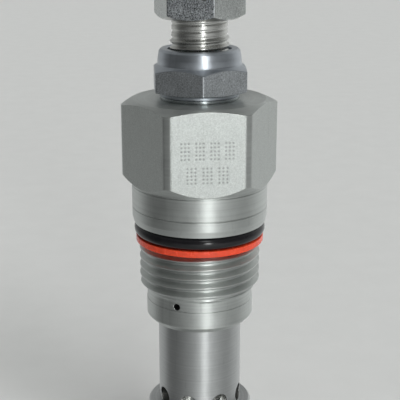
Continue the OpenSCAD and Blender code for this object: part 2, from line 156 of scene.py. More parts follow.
# Screw and locknut, in millimetres and degrees
SCREW_AF = 12.7
SCREW_TURN = -19.15
SCREW_TOP = high("adjusting_screw")
SCREW_FOOT = low("adjusting_screw")
SCREW_STEM_R = 3.4
SCREW_THREAD = (62.0, 78.8)
SCREW_RUN_OUT = 76.6
SCREW_RUN_OUT_SLOPE = 0.45
SCREW_THREAD_R = 4.7
SCREW_PITCH = 1.0583
SCREW_THREAD_DEPTH = 0.4
CAVITY_THREAD_DEPTH = 0.6134
SCREW_RELIEF_R = 4.4
SCREW_HEAD = 79.06
SCREW_THREAD_CREST = SCREW_HEAD - 2.2
SCREW_HEAD_FACE_R = 6.03
SCREW_HEAD_CHAMFER = 30.0
SCREW_FACET_HALF = 29.9
NUT_AF = 14.29
NUT_TURN = 27.15
NUT_BOTTOM = low("locknut")
NUT_TOP = high("locknut")
NUT_HEX_FOOT = 67.7
NUT_HEX_FOOT_SLOPE = 0.27
NUT_CORNER_R = 8.25
NUT_CORNER_TOP = 71.06
NUT_COLLAR_FOOT = 71.95
NUT_COLLAR_FOOT_R = 6.68
NUT_FILLET_TOP = 72.98
NUT_COLLAR_R = 6.6
NUT_LIP = 74.03
NUT_LIP_R = 6.42
NUT_TOP_R = 6.1
NUT_MOUTH_R = 5.05
WASHER_BORE_R = 4.9
INSERT_BORE_R = 4.75

# Springs: mean radius and wire radius in millimetres, and number of turns
MAIN_SPRING = (3.25, 0.35, 9)
PILOT_SPRING = (2.5, 0.5, 6)
# Millimetres between a spring's closed turns, points in one turn, and rounding of its ends in wire radii
SPRING_GAP = 0.03
SPRING_STEPS = 40
WIRE_TAPER = 0.25

# Finishes, each the place of its material in a piece's list; no piece has both a drilled and a coarse one
TURNED, FLAT, DRILLED = 0, 1, 2
# The coarse finish is painted shade as well as coarser grain: a darker steel on the screw facet nearest the
# front.
COARSE_SHADED = 2

# Steps in a rounded corner, millimetres from it to the points beside it, and metres within which points weld
ARC_STEPS = 4
SUPPORT = 0.02
WELD = 1e-6


# ---------------------------------------------------------------- meshes

def soften(corners, columns):
    """Rounds the corners of an outline. Each corner is (radius, height, fillet, finish of the span after it).

    A radius or height may be one number or one for each column. Every rounded corner is flanked by a
    point close to it, so that the flat span beside it keeps its own normals.
    """
    size = len(columns)
    points = [np.stack([np.broadcast_to(c[k], size).astype(float) for k in (0, 1)]) for c in corners]
    rows, finishes = [points[0]], [corners[0][3]]
    for before, here, after, corner in zip(points, points[1:], points[2:], corners[1:]):
        fillet, finish = corner[2:]
        back, onward = before - here, after - here
        back_length = np.maximum(np.hypot(*back), 1e-9)
        onward_length = np.maximum(np.hypot(*onward), 1e-9)
        back, onward = back / back_length, onward / onward_length
        half_turn = (math.pi - np.arccos(np.clip((back * onward).sum(0), -1, 1))) / 2
        cut = np.minimum(fillet * np.tan(half_turn), 0.4 * np.minimum(back_length, onward_length))
        guard = np.minimum(SUPPORT, 0.05 * np.minimum(back_length, onward_length))
        weight = np.cos(half_turn)
        start, end = here + back * cut, here + onward * cut
        rows.append(start + back * guard)
        finishes.append(finishes[-1])
        for s in np.linspace(0, 1, ARC_STEPS + 1):
            a, b, c = (1 - s) ** 2, 2 * s * (1 - s) * weight, s * s
            rows.append((a * start + b * here + c * end) / (a + b + c))
            finishes.append(finish)
        rows.append(end + onward * guard)
        finishes.append(finish)
    rows.append(points[-1])
    return np.array(rows), finishes


class Shell:
    """One closed surface round the Z axis, gathered from blocks whose shared edges are welded at the end."""

    def __init__(self, columns):
        self.columns = np.asarray(columns, float)
        self.points, self.faces, self.finishes = [], [], []
        self.count = 0

    def add(self, points):
        """Adds a grid of points and returns their indices in the same grid."""
        points = np.asarray(points, float)
        index = self.count + np.arange(points[..., 0].size).reshape(points.shape[:-1])
        self.points.append(points.reshape(-1, 3))
        self.count += index.size
        return index

    def cover(self, low_row, high_row, finish):
        """Quads between two rows of indices, where the rows may each be (row, column) grids."""
        quads = np.stack([low_row[..., :-1], low_row[..., 1:], high_row[..., 1:], high_row[..., :-1]], -1)
        self.faces.append(quads.reshape(-1, 4))
        self.finishes.append(np.broadcast_to(finish, quads.shape[:-1]).reshape(-1))

    def close(self, index, finish=TURNED):
        """Covers a grid that goes all the way round."""
        index = np.concatenate([index, index[:, :1]], 1)
        self.cover(index[:-1], index[1:], finish)

    def turn(self, *corners):
        """A lathe-turned stretch of the outline."""
        rows, finishes = soften(corners, self.columns)
        r, z = rows[:, 0], rows[:, 1]
        index = self.add(np.stack([r * np.cos(self.columns), r * np.sin(self.columns), z], -1))
        self.close(index, np.array([np.broadcast_to(f, len(self.columns)) for f in finishes]))

    def thread(self, shape, span, limit):
        """A right-hand helical thread over a span of heights, kept inside the radius limit(height)."""
        bottom, top = span
        rows_per_turn = len(THREAD_SHAPE)
        lead = shape.pitch * (self.columns - self.columns[0]) / (2 * math.pi)
        first = math.floor((bottom - shape.start) / shape.pitch) - 2
        last = math.ceil((top - shape.start) / shape.pitch) + 1
        base = np.array([turn + f for turn in range(first, last + 1) for f, _ in THREAD_SHAPE])
        heights = np.clip(shape.start + shape.pitch * base[:, None] + lead, bottom, top)
        r = np.minimum(shape.radius(self.columns - self.columns[0], heights), limit(heights))
        index = self.add(np.stack([r * np.cos(self.columns), r * np.sin(self.columns), heights], -1))
        self.cover(index[:-1], index[1:], TURNED)
        seam = np.stack([index[:-rows_per_turn, -1], index[rows_per_turn:, 0]], -1)
        self.cover(seam[:-1], seam[1:], TURNED)

    def drilled_band(self, outer, inner, holes, hole_r, hole_z, edge_break, rows=10):
        """Two cylindrical bands with round holes drilled radially through both.

        outer and inner are (radius, low height, high height). holes maps a hole's angle to its first and
        last column. edge_break is the width of the broken edge outside, and inside.
        """
        cols = len(self.columns)
        skipped = np.zeros(cols, bool)
        for first, last in holes.values():
            skipped[np.arange(first, last) % cols] = True
        for (radius, z0, z1), flip in ((outer, False), (inner, True)):
            z = np.linspace(z1, z0, rows + 1) if flip else np.linspace(z0, z1, rows + 1)
            index = self.add(on_cylinder(radius, self.columns[None, :], z[:, None]))
            for c in np.flatnonzero(~skipped):
                pair = index[:, [c, (c + 1) % cols]]
                self.cover(pair[:-1], pair[1:], TURNED)
        for angle, (first, last) in holes.items():
            self.drill(outer, inner, angle, (first, last), (hole_r, hole_z, edge_break), rows)

    def drill(self, outer, inner, angle, span, hole, rows):
        """Fills one hole's stretch of both bands with loops that close in on the hole, and lines the hole."""
        first, last = span
        hole_r, hole_z, (outer_break, inner_break) = hole
        across = self.columns[np.arange(first, last + 1) % len(self.columns)]
        steps = np.linspace(0, 1, rows + 1)
        around = np.concatenate(
            [across, np.full(rows, across[-1]), across[-2::-1], np.full(rows - 1, across[0])])
        up = np.concatenate([np.zeros(len(across)), steps[1:], np.ones(len(across) - 1), steps[-2:0:-1]])
        aim = np.arctan2(outer[1] + up * (outer[2] - outer[1]) - hole_z, outer[0] * np.sin(around - angle))

        def disc(r):
            return np.stack([r * np.cos(aim), r * np.sin(aim)])

        def closing(radius, z0, z1, edge_break):
            """Loops from the band's edge to the hole's rim, as (x, height) about the hole's centre."""
            edge = np.stack([radius * np.sin(around - angle), z0 + up * (z1 - z0) - hole_z])
            rim = disc(hole_r + edge_break)
            return [edge + (rim - edge) * t for t in (0, 0.3, 0.55, 0.75, 0.9, 0.97, 1)]

        loops = [(x, y, outer[0], 0) for x, y in closing(*outer, outer_break)]
        loops += [(*disc(hole_r + share * outer_break), outer[0], depth * outer_break)
                  for share, depth in ((0.3, 0.3), (0, 1), (0, 1.5))]
        loops += [(*disc(hole_r + share * inner_break), inner[0], -depth * inner_break)
                  for share, depth in ((0, 1.5), (0, 1), (0.3, 0.3))]
        loops += [(x, y, inner[0], 0) for x, y in closing(*inner, inner_break)[::-1]]
        outward = np.array([math.cos(angle), math.sin(angle), 0])
        aside = np.array([-math.sin(angle), math.cos(angle), 0])
        points = []
        for x, y, radius, depth in loops:
            out = np.sqrt(radius ** 2 - x ** 2) - depth
            points.append(out[:, None] * outward + x[:, None] * aside + (hole_z + y)[:, None] * (0, 0, 1))
        lining = np.full(len(loops) - 1, TURNED)
        lining[len(loops) // 2 - 2:len(loops) // 2 + 1] = DRILLED
        self.close(self.add(np.array(points)), np.repeat(lining[:, None], len(around), 1))

    def build(self, name, node, materials, rides=True):
        """Makes the piece, which stands for the CAD node and rides on its body unless rides is false."""
        mesh = bpy.data.meshes.new(name)
        points, faces = np.concatenate(self.points), np.concatenate(self.faces)
        mesh.from_pydata((points * MM).tolist(), [], faces.tolist())
        mesh.polygons.foreach_set("material_index", np.concatenate(self.finishes).astype(np.int32))
        return finish_piece(mesh, name, node, materials, rides)


class Thread:
    """A right-hand thread whose crest passes the front at a given height."""

    def __init__(self, crest_r, pitch, depth_ratio, front_crest):
        self.crest_r, self.pitch = crest_r, pitch
        self.depth = depth_ratio * pitch
        self.start = front_crest - pitch * 0.75

    def radius(self, angle, height):
        """Radius at an angle from +X and a height."""
        phase = (height - self.start) / self.pitch - angle / (2 * math.pi)
        share = [f for f, _ in THREAD_SHAPE] + [1]
        drop = [d for _, d in THREAD_SHAPE] + [0]
        return self.crest_r - self.depth * np.interp(phase % 1, share, drop)


# One turn of a 60 degree thread, from a crest's middle: share of the pitch, and share of the depth
THREAD_FLANK = ((0.045, 0), (0.0625, 0.02), (0.09, 0.09), (0.16, 0.31), (0.24, 0.57), (0.31, 0.79),
                (0.36, 0.93), (0.40, 0.985), (0.45, 1))
THREAD_SHAPE = ((0, 0),) + THREAD_FLANK + tuple((1 - f, d) for f, d in THREAD_FLANK[::-1])


def on_cylinder(radius, angle, height):
    """Points at a radius, angle and height round the Z axis."""
    angle, height = np.broadcast_arrays(angle, height)
    return np.stack([radius * np.cos(angle), radius * np.sin(angle), height], -1)


def finish_piece(mesh, name, node, materials, rides):
    """Welds a new mesh, turns its faces outward, and puts it in the CAD node's place."""
    work = bmesh.new()
    work.from_mesh(mesh)
    bmesh.ops.remove_doubles(work, verts=work.verts, dist=WELD)
    bmesh.ops.dissolve_degenerate(work, edges=work.edges, dist=WELD / 10)
    bmesh.ops.recalc_face_normals(work, faces=work.faces)
    work.to_mesh(mesh)
    work.free()
    mesh.shade_smooth()
    piece = bpy.data.objects.new(name, mesh)
    bpy.context.scene.collection.objects.link(piece)
    for material in materials:
        mesh.materials.append(material)
    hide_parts(node)
    if rides:
        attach(piece, NODE_BODY[node])
    return piece


def even_columns(count):
    return np.arange(count) * 2 * math.pi / count


def hex_columns(turn, strip=0.0, step=2.0):
    """Angles for a hexagonal piece, closer beside each edge. strip is half a corner strip's width."""
    close = (0, 0.12, 0.27, 0.45, 0.7, 1.0, 1.4, 1.9, 2.6, 3.5)
    edges = [turn + 60 * k + side * strip for k in range(6) for side in ((1, -1) if strip else (1,))]
    angles = {round((e + s * c) % 360, 3) for e in edges for c in close for s in (1, -1)}
    for a in np.arange(0, 360, step):
        if min(abs((a - b + 180) % 360 - 180) for b in angles) > 0.6 * step:
            angles.add(round(float(a), 3))
    return np.radians(sorted(angles))


def hex_radius(columns, af, turn, corner_r=None, blend=0.05):
    """Radius of a hexagon at each angle, with softly rounded corners or corners turned down to corner_r."""
    facing = [np.cos(columns - math.radians(turn + 30 + 60 * k)) for k in range(6)]
    sides = [(af / 2) / np.maximum(f, 0.05) for f in facing]
    if corner_r:
        sides.append(np.full(len(columns), corner_r))
    return -blend * np.log(sum(np.exp(-(s - af / 2) / blend) for s in sides)) + af / 2


# ---------------------------------------------------------------- materials

class Nodes:
    """Short calls for building a node tree."""

    def __init__(self, tree):
        self.tree = tree
        tree.nodes.clear()

    def add(self, kind, inputs=(), **settings):
        node = self.tree.nodes.new(kind)
        for key, value in settings.items():
            setattr(node, key, value)
        for key, value in dict(inputs).items():
            if isinstance(value, bpy.types.NodeSocket):
                self.tree.links.new(value, node.inputs[key])
            else:
                node.inputs[key].default_value = value
        return node

    def math(self, operation, *values):
        return self.add("ShaderNodeMath", enumerate(values), operation=operation).outputs[0]

    def noise(self, vector, scale, detail=3.0, roughness=0.55):
        return self.add("ShaderNodeTexNoise", {
            "Vector": vector, "Scale": scale, "Detail": detail, "Roughness": roughness,
        }).outputs[0]

    def rings(self, where, pitch, detail=2.0):
        """Noise that changes only along one measure, with about one ring in each pitch."""
        return self.add("ShaderNodeTexNoise", {"W": where, "Scale": 1 / (pitch * MM), "Detail": detail},
                        noise_dimensions="1D").outputs[0]

    def remap(self, value, from_low, from_high, to_low, to_high):
        return self.add("ShaderNodeMapRange", {
            "Value": value, "From Min": from_low, "From Max": from_high, "To Min": to_low, "To Max": to_high,
        }).outputs[0]

    def ramp(self, value, stops):
        node = self.add("ShaderNodeValToRGB", {"Fac": value})
        elements = node.color_ramp.elements
        while len(elements) < len(stops):
            elements.new(1.0)
        for element, (place, colour) in zip(elements, stops):
            element.position = place
            element.color = (*colour, 1)
        return node.outputs[0]

    def scaled(self, vector, scale):
        return self.add("ShaderNodeVectorMath", {0: vector, 1: scale}, operation="MULTIPLY").outputs[0]

    def tinted(self, colour, amount):
        """A colour made lighter or darker by a value round 1."""
        return self.add("ShaderNodeVectorMath", {0: colour, "Scale": amount}, operation="SCALE").outputs[0]


def new_material(name, viewport):
    material = bpy.data.materials.new(name)
    material.use_nodes = True
    material.diffuse_color = (*viewport, 1)
    return material, Nodes(material.node_tree)


def place_on(n):
    """The object's own coordinates, and the measure that runs across lathe marks: height plus radius."""
    where = n.add("ShaderNodeTexCoord").outputs["Object"]
    parts = n.add("ShaderNodeSeparateXYZ", {0: where}).outputs
    radius = n.math("SQRT", n.math("ADD", n.math("POWER", parts[0], 2.0), n.math("POWER", parts[1], 2.0)))
    return where, parts, n.math("ADD", parts[2], radius)


def metal(name, tint, roughness, ring_pitch=0.0, ring_height=0.0, anisotropy=0.0, grain=0.0, grain_size=0.15,
          mottle=0.08, scratch=0.1, spread=0.05, marks=(), speckle=0.0):
    """Bare or plated steel: lathe rings, grain, speckle, mottling, scratches, worn edges, peened dots."""
    material, n = new_material(name, tint)
    where, parts, across = place_on(n)
    slow = n.noise(where, 1 / (3.1 * MM), 3)
    fine = n.noise(where, 1 / (grain_size * MM), 2)
    lines = n.noise(n.scaled(where, (1.0, 1.0, 0.05)), 1 / (0.25 * MM), 2)
    scratches = n.remap(lines, 0.62, 0.72, 0, 1)
    edges = n.remap(n.add("ShaderNodeNewGeometry").outputs["Pointiness"], 0.52, 0.6, 0, 1)
    tone = n.remap(slow, 0.3, 0.7, 1 - mottle, 1 + mottle)
    tone = n.math("ADD", tone, n.math("MULTIPLY", edges, 0.12))
    tone = n.math("SUBTRACT", tone, n.math("MULTIPLY", scratches, scratch * 0.5))
    tone = n.math("ADD", tone, n.math("MULTIPLY", n.math("SUBTRACT", fine, 0.5), speckle))
    rough = n.remap(slow, 0.3, 0.7, roughness - spread, roughness + spread)
    rough = n.math("ADD", rough, n.math("MULTIPLY", scratches, scratch))
    height = n.math("MULTIPLY", fine, grain)
    for mark in marks:
        dent = peened(n, parts, *mark)
        tone = n.math("SUBTRACT", tone, n.math("MULTIPLY", dent, MARK_DENT_TONE))
        height = n.math("SUBTRACT", height, n.math("MULTIPLY", dent, MARK_DENT_DEPTH))
    if ring_height:
        lathe = n.rings(across, ring_pitch)
        coarse = n.rings(across, ring_pitch * 6, 1)
        tone = n.math("ADD", tone, n.remap(coarse, 0.3, 0.7, -0.05, 0.05))
        height = n.math("ADD", height, n.math("MULTIPLY", n.math("ADD", lathe, coarse), ring_height))
    bump = n.add("ShaderNodeBump", {"Height": height, "Strength": 1.0, "Distance": 0.001 * MM}).outputs[0]
    inputs = {"Base Color": n.tinted(tint, tone), "Metallic": 1.0, "Roughness": rough, "Normal": bump}
    if anisotropy:
        tangent = n.add("ShaderNodeTangent", direction_type="RADIAL", axis="Z").outputs[0]
        inputs |= {"Anisotropic": anisotropy, "Anisotropic Rotation": 0.25, "Tangent": tangent}
    shader = n.add("ShaderNodeBsdfPrincipled", inputs)
    n.add("ShaderNodeOutputMaterial", {"Surface": shader.outputs[0]})
    return material


def peened(n, parts, across, heights, blocks):
    """Blocks of three by five dots peened in a row on the front flat: 1 in a dot's middle, 0 outside.

    across and heights are the first and last dot's places, in millimetres.
    """
    columns = 4 * blocks - 1
    steps = ((across[1] - across[0]) / (columns - 1), (heights[1] - heights[0]) / 4)

    def nearest(place, first, step, last):
        """A place's nearest dot along one direction, and its distance from it."""
        count = n.math("DIVIDE", n.math("SUBTRACT", place, first * MM), step * MM)
        dot = n.math("MINIMUM", n.math("MAXIMUM", n.math("ROUND", count), 0.0), float(last))
        return dot, n.math("MULTIPLY", n.math("SUBTRACT", count, dot), step)

    column, aside = nearest(parts[0], across[0], steps[0], columns - 1)
    _, along = nearest(parts[2], heights[0], steps[1], 4)
    away = n.math("SQRT", n.math("ADD", n.math("POWER", aside, 2.0), n.math("POWER", along, 2.0)))
    dot = n.remap(away, 0.05, MARK_DOT_R, 1, 0)
    in_block = n.math("LESS_THAN", n.math("MODULO", column, 4.0), 2.5)
    on_front = n.math("LESS_THAN", parts[1], -(BODY_AF / 2 - 0.2) * MM)
    return n.math("MULTIPLY", dot, n.math("MULTIPLY", in_block, on_front))


def rubber(name):
    """Oiled black seal rubber with a faintly bumpy surface."""
    material, n = new_material(name, (0.02, 0.02, 0.02))
    where, _, _ = place_on(n)
    slow = n.noise(where, 1 / (1.6 * MM), 4)
    fine = n.noise(where, 1 / (0.07 * MM), 3)
    height = n.math("ADD", n.math("MULTIPLY", slow, 6.0), fine)
    bump = n.add("ShaderNodeBump", {"Height": height, "Strength": 0.7, "Distance": 0.002 * MM}).outputs[0]
    shader = n.add("ShaderNodeBsdfPrincipled", {
        "Base Color": n.ramp(slow, [(0.3, (0.005, 0.005, 0.006)), (0.7, (0.010, 0.009, 0.011))]),
        "Roughness": n.remap(slow, 0.3, 0.7, 0.13, 0.2), "Specular IOR Level": 0.4,
        "Normal": bump,
    })
    n.add("ShaderNodeOutputMaterial", {"Surface": shader.outputs[0]})
    return material


def polymer(name, colour, roughness, glow=0.0):
    """Turned or moulded polymer with fine rings, faint cloudiness and dust."""
    material, n = new_material(name, colour)
    where, _, across = place_on(n)
    slow = n.noise(where, 1 / (1.2 * MM), 3)
    marks = n.rings(across, 0.07)
    bump = n.add("ShaderNodeBump", {"Height": n.math("ADD", marks, slow), "Strength": 0.6,
                                    "Distance": 0.003 * MM}).outputs[0]
    shader = n.add("ShaderNodeBsdfPrincipled", {
        "Base Color": n.tinted(colour, n.remap(slow, 0.3, 0.7, 0.86, 1.12)),
        "Roughness": n.remap(slow, 0.3, 0.7, roughness - 0.06, roughness + 0.08),
        "Subsurface Weight": glow, "Subsurface Radius": (0.6 * MM, 0.2 * MM, 0.08 * MM),
        "Subsurface Scale": 1.0, "Normal": bump,
    })
    n.add("ShaderNodeOutputMaterial", {"Surface": shader.outputs[0]})
    return material


NODE_BODY = {node: body for body, nodes in frame["record"]["behaviour"]["bodies"].items() for node in nodes}

BODY_STEEL = metal("body_steel", (0.58, 0.60, 0.585), 0.42, 0.09, 0.35, 0.675)
BODY_FLAT = metal("body_flat_steel", (0.55, 0.57, 0.555), 0.46, grain=11.0, grain_size=0.2, mottle=0.06,
                  marks=MARKS, speckle=0.6)
SLEEVE_STEEL = metal("sleeve_steel", (0.49, 0.50, 0.50), 0.36, 0.05, 0.12, 0.7)
SCREW_STEEL = metal("screw_steel", (0.56, 0.56, 0.54), 0.27, 0.12, 0.5, 0.6)
SCREW_FLAT = metal("screw_flat_steel", (0.60, 0.62, 0.61), 0.36, grain=10.0, grain_size=0.22, mottle=0.1,
                   speckle=1.4)
# Coarse steel for the screw facet nearest the front: coarser grain, and a darker base colour that is painted
# shade.
SCREW_SHADED_COARSE = metal("screw_coarse_shaded_steel", (0.33, 0.345, 0.36), 0.4, grain=20.0, grain_size=0.2, mottle=0.1,
                     speckle=4.5)
NUT_STEEL = metal("nut_steel", (0.46, 0.49, 0.53), 0.35, 0.2, 0.4, 0.4)
NUT_FLAT = metal("nut_flat_steel", (0.47, 0.49, 0.51), 0.38, grain=10.0, grain_size=0.2, mottle=0.1,
                 speckle=1.7)
WASHER_STEEL = metal("washer_steel", (0.42, 0.45, 0.46), 0.22, 0.1, 0.4, 0.6)
INNER_STEEL = metal("inner_steel", (0.55, 0.56, 0.54), 0.28, 0.12, 0.3, 0.5)
GROUND_STEEL = metal("ground_steel", (0.66, 0.67, 0.65), 0.2, 0.04, 0.1, 0.6)
SPRING_STEEL = metal("spring_steel", (0.34, 0.35, 0.36), 0.32, grain=0.6)
PORT_STEEL = metal("port_steel", (0.42, 0.42, 0.41), 0.34, 0.12, 0.6, grain=2.0)
# Near-black steel lining the body's cross hole: painted shade inside the hole.
DRILLED_SHADE_STEEL = metal("drilled_painted_shade_steel", (0.07, 0.072, 0.075), 0.5, 0.06, 0.6, grain=2.0)
BRASS = metal("brass", (0.74, 0.56, 0.27), 0.28, 0.1, 0.3, 0.4)
SEAL = rubber("seal_rubber")
BACKUP = polymer("backup_ring", (0.78, 0.07, 0.025), 0.24, 0.15)
NYLON = polymer("nylon", (0.30, 0.34, 0.36), 0.42, 0.1)


# ---------------------------------------------------------------- pieces

def body_piece():
    """Hexagon, shoulder, seal gland, helical cavity thread, neck with its cross hole, and the bores."""
    strip = 30 - math.degrees(math.acos(BODY_AF / 2 / BODY_CORNER_R))
    columns = hex_columns(0, strip)
    shell = Shell(columns)
    hexagon = hex_radius(columns, BODY_AF, 0, BODY_CORNER_R)
    beside_corner = np.abs((np.degrees(columns) + 30) % 60 - 30)
    faces = np.where(beside_corner < strip, TURNED, FLAT)
    top_slope = BODY_TOP_CHAMFER / (BODY_CORNER_R - BODY_TOP_R)
    foot_slope = HEX_FOOT_CHAMFER / (BODY_CORNER_R - SHOULDER_R)
    thread = Thread(THREAD_R, THREAD_PITCH, CAVITY_THREAD_DEPTH, THREAD_CREST)

    def limit(z):
        return np.minimum(UNDERCUT_R + (z - THREAD_BOTTOM), GLAND_WALL_R + (GLAND_BOTTOM - z))

    thread_end = np.minimum(thread.radius(columns - columns[0], GLAND_BOTTOM), limit(GLAND_BOTTOM))
    groove = (WIRE_Z - WIRE_GROOVE_H / 2, WIRE_Z + WIRE_GROOVE_H / 2)
    shell.turn(
        (WIRE_GROOVE_R, groove[0], 0, TURNED), (COUNTERBORE_R, groove[0], 0.04, TURNED),
        (COUNTERBORE_R, NECK_BOTTOM, 0.1, TURNED), (NECK_R - NECK_CHAMFER, NECK_BOTTOM, 0.1, TURNED),
        (NECK_R, NECK_BOTTOM + NECK_CHAMFER, 0.2, TURNED), (NECK_R, UNDERCUT, 0.03, TURNED),
        (UNDERCUT_R, UNDERCUT + 0.06, 0.03, TURNED), (UNDERCUT_R, CROSS_HOLE_BAND[0], 0, TURNED))
    angle = CROSS_HOLE_ANGLE % (2 * math.pi)
    beside = np.searchsorted(columns, [angle - CROSS_HOLE_REACH, angle + CROSS_HOLE_REACH])
    shell.drilled_band((UNDERCUT_R, *CROSS_HOLE_BAND), (WIRE_GROOVE_R, *groove),
                       {angle: tuple(beside)}, CROSS_HOLE_R, WIRE_Z, CROSS_HOLE_BREAKS)
    shell.turn((UNDERCUT_R, CROSS_HOLE_BAND[1], 0, TURNED), (UNDERCUT_R, THREAD_BOTTOM, 0, TURNED))
    shell.thread(thread, (THREAD_BOTTOM, GLAND_BOTTOM), limit)
    shell.turn(
        (thread_end, GLAND_BOTTOM, 0, TURNED), (GLAND_FLOOR_R, GLAND_BOTTOM, 0.06, TURNED),
        (GLAND_FLOOR_R, GLAND_TOP, 0.1, TURNED), (SHOULDER_FACE_R, GLAND_TOP, 0.08, TURNED),
        (SHOULDER_R, SHOULDER_EDGE, 0.12, TURNED),
        (SHOULDER_R, SHOULDER_LINE - SHOULDER_LINE_DEPTH, 0.03, TURNED),
        (SHOULDER_R - SHOULDER_LINE_DEPTH, SHOULDER_LINE, 0.03, TURNED),
        (SHOULDER_R, SHOULDER_LINE + SHOULDER_LINE_DEPTH, 0.03, TURNED),
        (SHOULDER_R, SHOULDER_TOP_LINE - SHOULDER_TOP_LINE_DEPTH, 0.02, TURNED),
        (SHOULDER_R - SHOULDER_TOP_LINE_DEPTH, SHOULDER_TOP_LINE, 0.02, TURNED),
        (SHOULDER_R, SHOULDER_TOP_LINE + SHOULDER_TOP_LINE_DEPTH, 0.02, TURNED),
        (SHOULDER_R, HEX_FOOT, 0.05, TURNED),
        (hexagon, HEX_FOOT + (hexagon - SHOULDER_R) * foot_slope, 0.07, faces),
        (hexagon, BODY_TOP - (hexagon - BODY_TOP_R) * top_slope, 0.09, TURNED),
        (BODY_TOP_R, BODY_TOP, 0.15, TURNED), (BODY_BORE_R + BODY_BORE_MOUTH, BODY_TOP, 0.08, TURNED),
        (BODY_BORE_R, BODY_TOP - BODY_BORE_MOUTH, 0.05, TURNED), (BODY_BORE_R, COUNTERBORE_TOP, 0.05, TURNED),
        (COUNTERBORE_R, COUNTERBORE_TOP, 0.1, TURNED), (COUNTERBORE_R, groove[1], 0.04, TURNED),
        (WIRE_GROOVE_R, groove[1], 0, TURNED))
    # The cross hole's deep wall takes the near-black drilled steel, which is painted shade.
    return shell.build("valve_body", "hex_body", [BODY_STEEL, BODY_FLAT, DRILLED_SHADE_STEEL])


def screw_piece():
    """Adjusting screw: stem, helical thread, relief and hexagon head."""
    columns = hex_columns(SCREW_TURN)
    shell = Shell(columns)
    hexagon = hex_radius(columns, SCREW_AF, SCREW_TURN, blend=0.09)
    chamfer = (hexagon - SCREW_HEAD_FACE_R) * math.tan(math.radians(SCREW_HEAD_CHAMFER))
    front_facet = math.radians(SCREW_TURN + 30 - 120)
    on_shaded_facet = np.cos(columns - front_facet) > math.cos(math.radians(SCREW_FACET_HALF))
    # The facet nearest the front takes the coarse steel, painted darker as shade as well as coarser in grain.
    faces = np.where(on_shaded_facet, COARSE_SHADED, FLAT)
    bottom, top = SCREW_THREAD

    def limit(z):
        run_out = SCREW_RUN_OUT_SLOPE * (SCREW_RUN_OUT - z)
        return np.minimum(SCREW_STEM_R + (z - bottom), SCREW_RELIEF_R + np.maximum(0, run_out))

    shell.turn(
        (0, SCREW_FOOT, 0, TURNED), (SCREW_STEM_R - 0.3, SCREW_FOOT, 0.08, TURNED),
        (SCREW_STEM_R, SCREW_FOOT + 0.3, 0.08, TURNED), (SCREW_STEM_R, bottom, 0, TURNED))
    thread = Thread(SCREW_THREAD_R, SCREW_PITCH, SCREW_THREAD_DEPTH, SCREW_THREAD_CREST)
    shell.thread(thread, SCREW_THREAD, limit)
    thread_end = np.minimum(thread.radius(columns - columns[0], top), limit(top))
    shell.turn(
        (thread_end, top, 0, TURNED), (SCREW_RELIEF_R, top + 0.1, 0.05, TURNED),
        (SCREW_RELIEF_R, SCREW_HEAD, 0.3, TURNED), (SCREW_HEAD_FACE_R, SCREW_HEAD, 0.12, TURNED),
        (hexagon, SCREW_HEAD + chamfer, 0.1, faces), (hexagon, SCREW_TOP - chamfer, 0.14, TURNED),
        (SCREW_HEAD_FACE_R, SCREW_TOP, 0.2, TURNED), (0, SCREW_TOP, 0, TURNED))
    return shell.build("adjusting_screw_piece", "adjusting_screw", [SCREW_STEEL, SCREW_FLAT, SCREW_SHADED_COARSE])


def nut_piece():
    """Thin locknut with a washer face, a chamfered hexagon and a rolled collar."""
    columns = hex_columns(NUT_TURN)
    shell = Shell(columns)
    hexagon = hex_radius(columns, NUT_AF, NUT_TURN, blend=0.07)
    flat_r = NUT_AF / 2
    top_slope = (NUT_COLLAR_FOOT - NUT_CORNER_TOP) / (NUT_CORNER_R - NUT_COLLAR_FOOT_R)
    washer_face_r = reach("locknut_washer") + 0.05
    insert = (low("locknut_insert"), high("locknut_insert"), reach("locknut_insert"))
    shell.turn(
        (BODY_BORE_R, NUT_TOP - 1, 0, TURNED), (BODY_BORE_R, NUT_BOTTOM + 0.35, 0.05, TURNED),
        (BODY_BORE_R + 0.35, NUT_BOTTOM, 0.05, TURNED), (washer_face_r, NUT_BOTTOM, 0.1, TURNED),
        (washer_face_r, NUT_HEX_FOOT - 0.1, 0.15, TURNED),
        (flat_r - 0.25, NUT_HEX_FOOT, 0.08, TURNED),
        (hexagon, NUT_HEX_FOOT + (hexagon - flat_r) * NUT_HEX_FOOT_SLOPE, 0.1, FLAT),
        (hexagon, NUT_CORNER_TOP + (NUT_CORNER_R - hexagon) * top_slope, 0.12, TURNED),
        (NUT_COLLAR_FOOT_R, NUT_COLLAR_FOOT, 0.35, TURNED), (NUT_COLLAR_R, NUT_FILLET_TOP, 0.9, TURNED),
        (NUT_LIP_R, NUT_LIP, 0.25, TURNED), (NUT_TOP_R, NUT_TOP, 0.3, TURNED),
        (NUT_MOUTH_R, NUT_TOP, 0.15, TURNED),
        (NUT_MOUTH_R, insert[1], 0.05, TURNED), (insert[2], insert[1], 0.03, TURNED),
        (insert[2], insert[0], 0.03, TURNED), (BODY_BORE_R, insert[0], 0.04, TURNED),
        (BODY_BORE_R, NUT_TOP - 3.5, 0, TURNED))
    return shell.build("locknut_piece", "locknut", [NUT_STEEL, NUT_FLAT])


